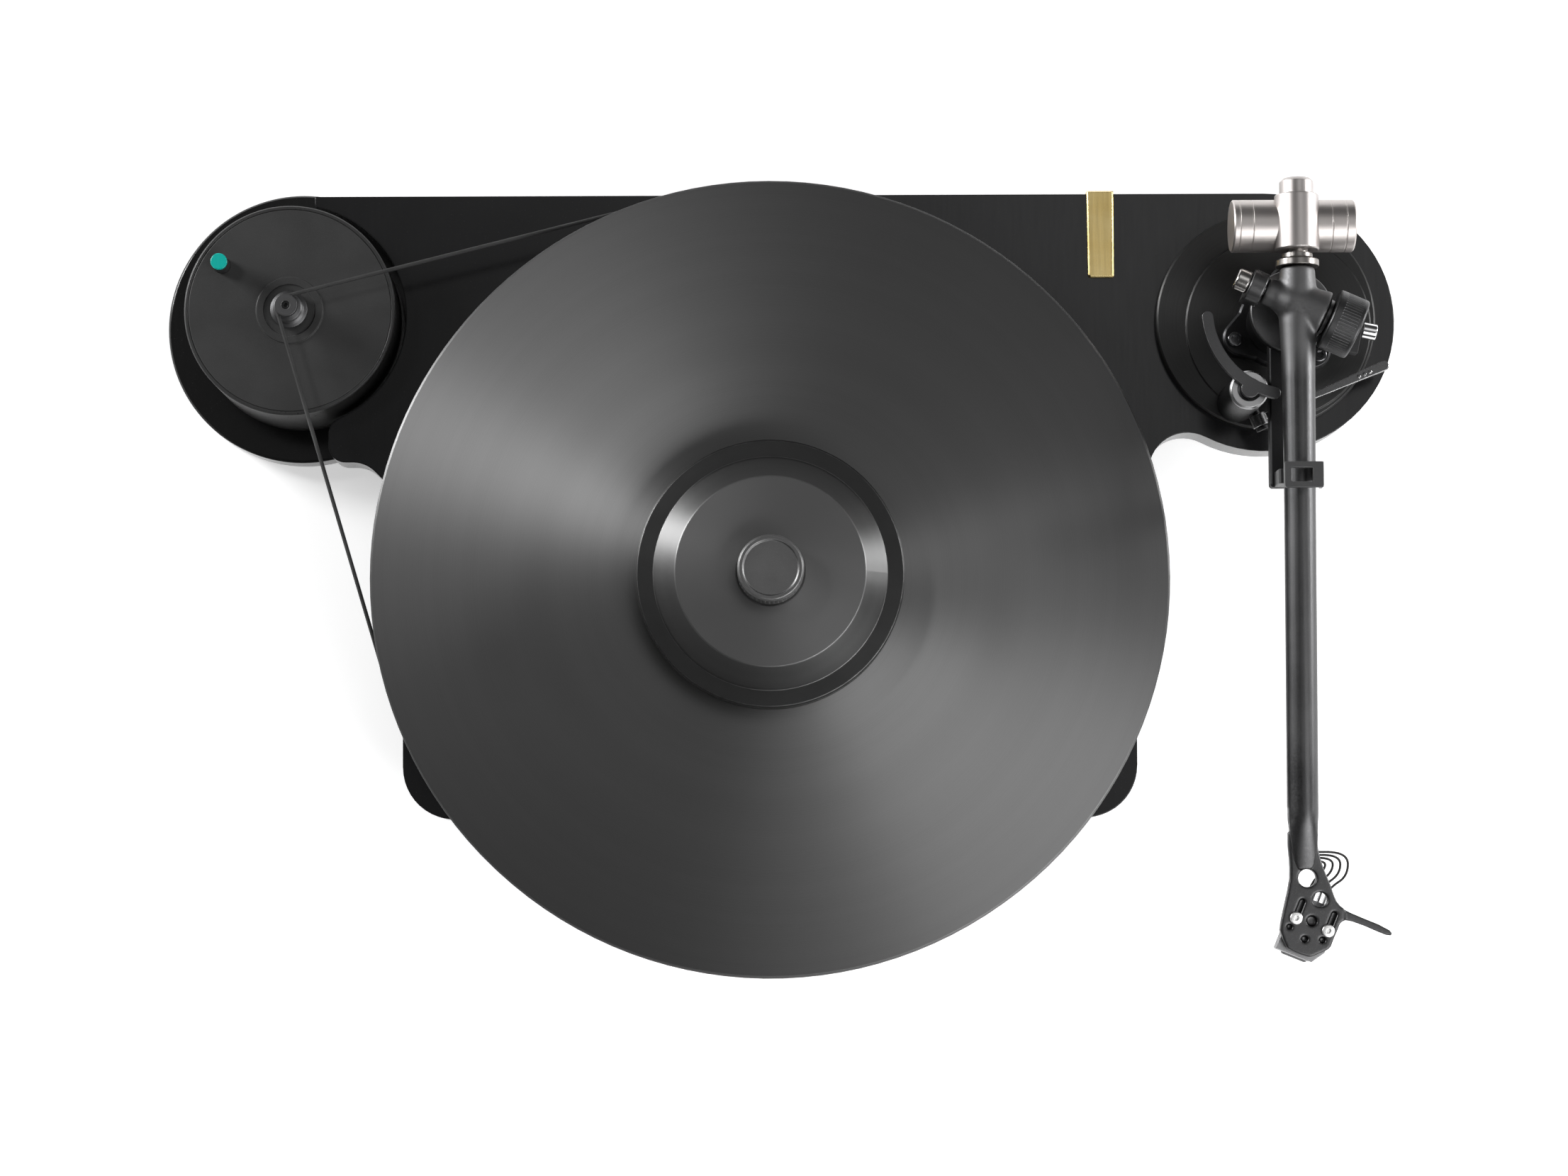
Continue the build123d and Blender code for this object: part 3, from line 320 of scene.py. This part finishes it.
M["screw"] = lathe("screw_steel", (0.66, 0.65, 0.64), 0.24, metallic=1.0, scale=3000.0, edge=(0.9, 0.9, 0.9), edge_r=0.0002)
M["lead"] = soft_black("lead_jacket", (0.018, 0.017, 0.017), 0.6, grain=1500.0, depth=0.00001)
M["belt"] = soft_black("belt_rubber", (0.035, 0.035, 0.035), 0.55, grain=1500.0, depth=0.00001)


def platter_finish():
    """Fine concentric turning, so light streaks across the grooves; painted shade darkens it towards the rim and a
    painted highlight lightens the edges.
    """
    m = Mat("turned_platter")
    m.set(Metallic=1.0, Anisotropic=0.86, Anisotropic_Rotation=0.25, Specular_IOR_Level=0.5)
    edges = m.soften(0.0005)
    ring, radius = m.rings("z", SPINDLE, 2600.0, 6.0, 0.8)
    broad, _ = m.rings("z", SPINDLE, 90.0, 4.0, 0.6)
    cloud = m.noise(9.0, 4.0)
    base = PLATTER_BASE
    col = m.mix(m.span(ring, 0.0, 1.0, 0.25, 0.75), (base * 0.93,) * 3, (base * 1.07,) * 3)
    col = m.mix(m.times(m.span(broad, 0.0, 1.0), 0.25), col, (base * 1.15,) * 3)
    # painted shade: the colour is multiplied from 1.12 near the hub down to 0.84 at the rim
    radial_shade = m.add("ShaderNodeMix", data_type="RGBA", blend_type="MULTIPLY")
    radial_shade.inputs[0].default_value = 1.0
    m.link(col, radial_shade.inputs[6])
    m.link(m.mix(m.span(radius, 0.0, 1.0, 0.055, 0.148), (1.12,) * 3, (0.84,) * 3), radial_shade.inputs[7])
    # painted highlight: light grey mixed in along the edges
    col = m.mix(m.times(edges, 0.8), radial_shade.outputs[2], (0.42, 0.42, 0.42))
    r = m.plus(m.span(ring, 0.45, 0.51, 0.25, 0.75), m.span(cloud, -0.015, 0.015))
    m.bump(ring, 0.000004, 0.6)
    m.around_z()
    return m.done(col, r)


M["platter"] = platter_finish()


def clamp_finish():
    """Anodised clamp: dark turned rim and cone, paler satin top face."""
    m = Mat("clamp_black")
    m.set(Metallic=1.0, Anisotropic=0.45, Anisotropic_Rotation=0.25)
    edges = m.soften(0.0005)
    ring, radius = m.rings("z", SPINDLE, 2600.0)
    cloud = m.noise(40.0, 4.0)
    top = m.span(radius, 1.0, 0.0, 0.03545, 0.03565)
    rim = m.span(radius, 0.0, 1.0, 0.0434, 0.0437)
    col = m.mix(m.span(ring, 0.0, 1.0, 0.25, 0.75), (0.11,) * 3, (0.13,) * 3)
    col = m.mix(rim, col, (0.055,) * 3)
    col = m.mix(top, col, (0.19,) * 3)
    col = m.mix(m.times(m.span(cloud, 0.0, 1.0), 0.12), col, (0.15,) * 3)
    # edge colour: partly worn edges, partly a painted highlight along them
    wear_and_edge_highlight = m.times(edges, m.span(m.noise(180.0, 4.0), 0.4, 1.0, 0.35, 0.6))
    col = m.mix(m.times(wear_and_edge_highlight, 0.7), col, (0.45, 0.45, 0.45))
    r = m.plus(m.span(ring, 0.36, 0.44, 0.25, 0.75), m.span(cloud, -0.025, 0.025))
    m.bump(ring, 0.000008)
    m.around_z()
    return m.done(col, r)


M["clamp"] = clamp_finish()


def arm_finish():
    """Satin arm casting with painted light: paler round the hub as a painted highlight, darker along the head as
    painted shade.
    """
    m = Mat("arm_satin")
    m.set(Metallic=1.0)
    edges = m.soften(0.0004)
    cloud = m.noise(35.0, 5.0)
    fine = m.noise(1300.0, 3.0, 0.6)
    speck = m.noise(2860.0, 1.0)
    away = m.add("ShaderNodeVectorMath", operation="DISTANCE")
    m.link(m.coord, away.inputs[0])
    away.inputs[1].default_value = (PIVOT[0], PIVOT[1], ARM_Z)
    hub = m.span(away.outputs["Value"], 1.0, 0.0, 0.017, 0.030)
    head = m.span(away.outputs["Value"], 0.0, 1.0, 0.194, 0.212)
    col = m.mix(m.span(cloud, 0.0, 1.0), (0.088, 0.088, 0.090), (0.112, 0.112, 0.114))
    # painted highlight: the casting is paler round the hub
    col = m.mix(hub, col, (0.165, 0.165, 0.167))
    # painted shade: the casting is darker along the head
    col = m.mix(head, col, (0.070, 0.070, 0.071))
    col = m.mix(m.times(m.span(speck, 0.0, 1.0, 0.55, 0.75), 0.35), col, (0.15, 0.15, 0.153))
    # edge colour: partly worn edges, partly a painted highlight along them
    wear_and_edge_highlight = m.times(edges, m.span(m.noise(220.0, 4.0), 0.35, 1.0, 0.35, 0.6))
    col = m.mix(m.times(wear_and_edge_highlight, 0.7), col, (0.3, 0.3, 0.3))
    r = m.plus(m.span(cloud, 0.34, 0.42), m.span(fine, -0.05, 0.05))
    r = m.plus(r, m.times(hub, 0.12))
    m.bump(fine, 0.000010)
    return m.done(col, r)


M["arm"] = arm_finish()


def brass_finish():
    m = Mat("brass_plate")
    m.set(Metallic=1.0)
    edges = m.soften(0.0004)
    streak = m.noise(700.0, 4.0, stretch=(1.0, 0.04, 1.0))
    cloud = m.noise(90.0, 5.0)
    col = m.mix(m.span(cloud, 0.0, 1.0), (0.66, 0.49, 0.19), (0.84, 0.66, 0.30))
    # painted highlight: paler brass mixed in along the edges
    col = m.mix(m.times(edges, 0.7), col, (0.92, 0.80, 0.48))
    r = m.plus(m.span(streak, 0.20, 0.36), m.span(cloud, -0.04, 0.04))
    m.bump(streak, 0.000006)
    return m.done(col, r)


M["brass"] = brass_finish()

FINISH = {
    "plinth": "acrylic", "badge_plate": "brass", "bearing_base": "steel", "bearing_shaft": "steel", "thrust_ball": "chrome",
    "bearing_screws": "screw", "foot_lock_rings": "can", "left_foot": "foot", "right_foot": "foot", "rear_foot": "foot",
    "motor_base_pads": "rubber", "motor_base": "gloss_base", "motor_can": "can", "power_inlet": "plastic", "motor_lid": "lid",
    "motor_body": "steel", "motor_board": "green", "switch_body": "plastic", "power_button": "plastic", "button_cap": "teal",
    "motor_shaft": "pulley", "pulley": "pulley", "pulley_grub_screw": "bar", "drive_belt": "belt", "platter": "platter",
    "platter_hub": "steel", "bearing_sleeve": "bronze", "spindle": "chrome", "clamp_body": "clamp", "clamp_pad": "felt",
    "clamp_collet": "bronze", "clamp_knob": "clamp_knob", "armboard": "board", "armboard_screws": "screw", "arm_base": "arm_parts",
    "arm_base_bolts": "bolt", "arm_pillar": "arm_parts", "arm_nut": "steel", "rest_bar": "bar", "rest_clip": "clip",
    "lift_cylinder": "arm_parts", "lift_ring": "ring", "lever_pin": "bar", "lift_lever": "lever", "lift_cradle": "cradle",
    "bias_rail": "plastic", "bias_knob": "chrome", "arm_yoke": "yoke", "yaw_shaft": "steel", "pitch_axle": "steel", "axle_nut": "knurl",
    "force_dial": "dial", "arm_tube": "arm", "headshell_screws": "head_screw", "cartridge_body": "cartridge", "stylus_holder": "stylus",
    "cartridge_leads": "lead", "arm_stub": "stub", "counterweight_barrel": "nickel_x", "counterweight_body": "nickel_y",
}
for name, o in nodes.items():
    finish = M[FINISH[name]]
    for s in o.material_slots:
        s.material = finish


# ---------------------------------------------------------------- arm casting
def smooth_casting():
    """The arm as one casting: the tube, cross hub and head flow into each other."""
    src = nodes["arm_tube"]
    ob = bpy.data.objects.new("arm_casting", src.data.copy())
    scene.collection.objects.link(ob)
    for o in bpy.context.selected_objects:
        o.select_set(False)
    bpy.context.view_layer.objects.active = ob
    ob.select_set(True)
    w = ob.modifiers.new("weld", "WELD")
    w.merge_threshold = 0.00001
    r = ob.modifiers.new("remesh", "REMESH")
    r.mode = "VOXEL"
    r.voxel_size = 0.00036
    r.use_smooth_shade = True
    dg = bpy.context.evaluated_depsgraph_get()
    mesh = bpy.data.meshes.new_from_object(ob.evaluated_get(dg))
    ob.modifiers.clear()
    ob.data = mesh
    hub = ob.vertex_groups.new(name="hub")
    rest = ob.vertex_groups.new(name="all")
    p = Vector((PIVOT[0], PIVOT[1], ARM_Z))
    for v in mesh.vertices:
        d = (v.co - p).length
        wgt = max(0.0, min(1.0, (0.026 - d) / 0.008))
        if wgt > 0:
            hub.add([v.index], wgt, "REPLACE")
        y = v.co.y + OY
        z = v.co.z - ARM_Z
        if -0.112 < y < -0.092 and (z > 0.0017 or z < -0.0021):
            t = (-0.092 - y) / 0.020
            v.co.x = PIVOT[0] + (v.co.x - PIVOT[0]) * (0.0053 + t * 0.0009) / (0.00535 - t * 0.00345)
        wide = max(0.0, min(1.0, (0.03 - y) / 0.12, 1.0 + (y + 0.096) / 0.014))
        side = max(0.0, min(1.0, (PIVOT[0] - v.co.x) / 0.0045))
        v.co.x -= 0.0008 * wide * side
        lim = 0.0058 + (-0.088 - y) / 0.020 * 0.0004
        if -0.108 < y < -0.088 and PIVOT[0] - v.co.x > lim:
            v.co.x = PIVOT[0] - lim
        neck = max(0.0, min(1.0, 1.3 - abs(y + 0.1015) / 0.012))
        rest.add([v.index], max(0.25, neck), "REPLACE")
    a = ob.modifiers.new("blend_hub", "SMOOTH")
    a.vertex_group = "hub"
    a.factor = 0.5
    a.iterations = 70
    b = ob.modifiers.new("blend_all", "SMOOTH")
    b.vertex_group = "all"
    b.factor = 0.5
    b.iterations = 24
    dg = bpy.context.evaluated_depsgraph_get()
    mesh = bpy.data.meshes.new_from_object(ob.evaluated_get(dg))
    ob.modifiers.clear()
    ob.data = mesh
    for q in mesh.polygons:
        q.use_smooth = True
    ob.vertex_groups.clear()
    mesh.materials.clear()
    mesh.materials.append(M["arm"])
    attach(ob, "tonearm")
    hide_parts("arm_tube")
    return ob


casting = smooth_casting()


# ---------------------------------------------------------------- cartridge leads
def lead_loops():
    """Four thin leads that loop out beside the neck, from its recess to the cartridge pins."""
    a = math.atan2(-133.12 + 128.39, 203.65 - 191.99)
    back = (-math.sin(a), math.cos(a))
    mid = ((191.99 + 203.65) / 2, (-128.39 - 133.12) / 2)
    px, az = 195.6, 93.0
    cu = bpy.data.curves.new("lead_route", "CURVE")
    cu.dimensions = "3D"
    cu.resolution_u = 14
    cu.bevel_depth = 0.00042
    cu.bevel_resolution = 3
    cu.use_fill_caps = True
    for i, y in enumerate((-107.3, -106.2, -105.1, -104.0)):
        reach = 8.8 + 2.8 * i
        side = -4.1 + 2.2 * i
        ex = mid[0] + math.cos(a) * side + back[0] * 12.6
        ey = mid[1] + math.sin(a) * side + back[1] * 12.6
        route = [
            (px + 1.0, y, az - 1.0), (px + 1.0, y, az - 6.6), (px + reach, y, az - 7.0),
            (px + reach, -110.2 - 0.9 * i, az - 7.4), (ex + 3.0 * back[0], ey + 3.0 * back[1], az - 8.0), (ex, ey, az - 8.0),
        ]
        sp = cu.splines.new("NURBS")
        sp.points.add(len(route) - 1)
        for q, c in zip(sp.points, route):
            q.co = (c[0] / 1000 - OX, c[1] / 1000 - OY, c[2] / 1000, 1.0)
        sp.order_u = 3
        sp.use_endpoint_u = True
    tmp = bpy.data.objects.new("lead_route", cu)
    scene.collection.objects.link(tmp)
    dg = bpy.context.evaluated_depsgraph_get()
    mesh = bpy.data.meshes.new_from_object(tmp.evaluated_get(dg))
    bpy.data.objects.remove(tmp)
    bpy.data.curves.remove(cu)
    for q in mesh.polygons:
        q.use_smooth = True
    mesh.materials.clear()
    mesh.materials.append(M["lead"])
    ob = bpy.data.objects.new("lead_loops", mesh)
    scene.collection.objects.link(ob)
    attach(ob, "tonearm")
    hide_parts("cartridge_leads")


lead_loops()


# ---------------------------------------------------------------- floor, light, camera
def floor():
    bm = bmesh.new()
    bmesh.ops.create_grid(bm, x_segments=16, y_segments=16, size=15.0)
    me = bpy.data.meshes.new("floor")
    bm.to_mesh(me)
    bm.free()
    ob = bpy.data.objects.new("floor", me)
    scene.collection.objects.link(ob)
    m = Mat("pale_floor")
    m.set(Metallic=0.0, Specular_IOR_Level=0.2, Emission_Color=(1, 1, 1, 1), Emission_Strength=0.53)
    cloud = m.noise(2.0, 3.0)
    col = m.mix(m.span(cloud, 0.0, 1.0), (0.90, 0.90, 0.90), (0.94, 0.94, 0.94))
    ob.data.materials.append(m.done(col, m.span(cloud, 0.80, 0.90)))


floor()


def area(name, azimuth, elevation, distance, size, power, size_y=None, target=(0.0, 0.0, 0.06), color=(1, 1, 1)):
    data = bpy.data.lights.new(name, "AREA")
    data.energy = power
    data.color = color
    data.shape = "RECTANGLE" if size_y else "SQUARE"
    data.size = size
    if size_y:
        data.size_y = size_y
    ob = bpy.data.objects.new(name, data)
    a, e = math.radians(azimuth), math.radians(elevation)
    d = Vector((math.cos(e) * math.cos(a), math.cos(e) * math.sin(a), math.sin(e)))
    ob.location = Vector(target) + d * distance
    ob.rotation_euler = (-d).to_track_quat("-Z", "Y").to_euler()
    scene.collection.objects.link(ob)
    return ob


area("left_low", 152, 14, 1.8, 0.5, 26.0)
area("left_mid", 151, 45, 1.6, 0.25, 3.0)
area("front_right", 321, 45, 1.1, 0.7, 6.8)
area("front", 285, 45, 1.1, 0.5, 1.0)
area("right_low", 14, 14, 1.8, 0.45, 14.5)


def sky():
    """Dim room with one broad glow above and behind the right-hand end."""
    world = bpy.data.worlds.new("studio")
    scene.world = world
    world.use_nodes = True
    nt = world.node_tree
    back = nt.nodes["Background"]
    back.inputs["Color"].default_value = (1, 1, 1, 1)
    tc = nt.nodes.new("ShaderNodeTexCoord")
    dot = nt.nodes.new("ShaderNodeVectorMath")
    dot.operation = "DOT_PRODUCT"
    a, e = math.radians(53), math.radians(70.5)
    dot.inputs[1].default_value = (math.cos(e) * math.cos(a), math.cos(e) * math.sin(a), math.sin(e))
    nt.links.new(tc.outputs["Generated"], dot.inputs[0])
    top = nt.nodes.new("ShaderNodeMath")
    top.operation = "MAXIMUM"
    top.inputs[1].default_value = 0.0
    nt.links.new(dot.outputs["Value"], top.inputs[0])
    lobe = nt.nodes.new("ShaderNodeMath")
    lobe.operation = "POWER"
    lobe.inputs[1].default_value = 33.0
    nt.links.new(top.outputs[0], lobe.inputs[0])
    total = nt.nodes.new("ShaderNodeMath")
    total.operation = "MULTIPLY_ADD"
    total.inputs[1].default_value = 0.95
    total.inputs[2].default_value = 0.05
    nt.links.new(lobe.outputs[0], total.inputs[0])
    nt.links.new(total.outputs[0], back.inputs["Strength"])


sky()

cam_data = bpy.data.cameras.new("camera")
cam = bpy.data.objects.new("camera", cam_data)
scene.collection.objects.link(cam)
scene.camera = cam
W_PX, H_PX = 2212, 1659
FOCAL_PX = 4827.9
TILT = math.radians(3.0)
ROLL = math.radians(-0.205)
cam_data.sensor_fit = "HORIZONTAL"
cam_data.sensor_width = 36.0
cam_data.lens = FOCAL_PX * 36.0 / W_PX
cam_data.shift_x = (W_PX / 2 - 1048.89) / W_PX
cam_data.shift_y = (1304.6 - H_PX / 2) / W_PX - math.tan(TILT) * FOCAL_PX / W_PX
cam_data.clip_end = 20.0
cam.matrix_world = (
    Matrix.Translation((SPINDLE[0], SPINDLE[1], 0))
    @ Matrix.Rotation(ROLL, 4, "Z")
    @ Matrix.Translation((-0.00992, -0.13011, 1.3498))
    @ Matrix.Rotation(TILT, 4, "X")
)
scene.view_settings.view_transform = "Standard"
scene.view_settings.look = "None"
scene.view_settings.exposure = 0.0
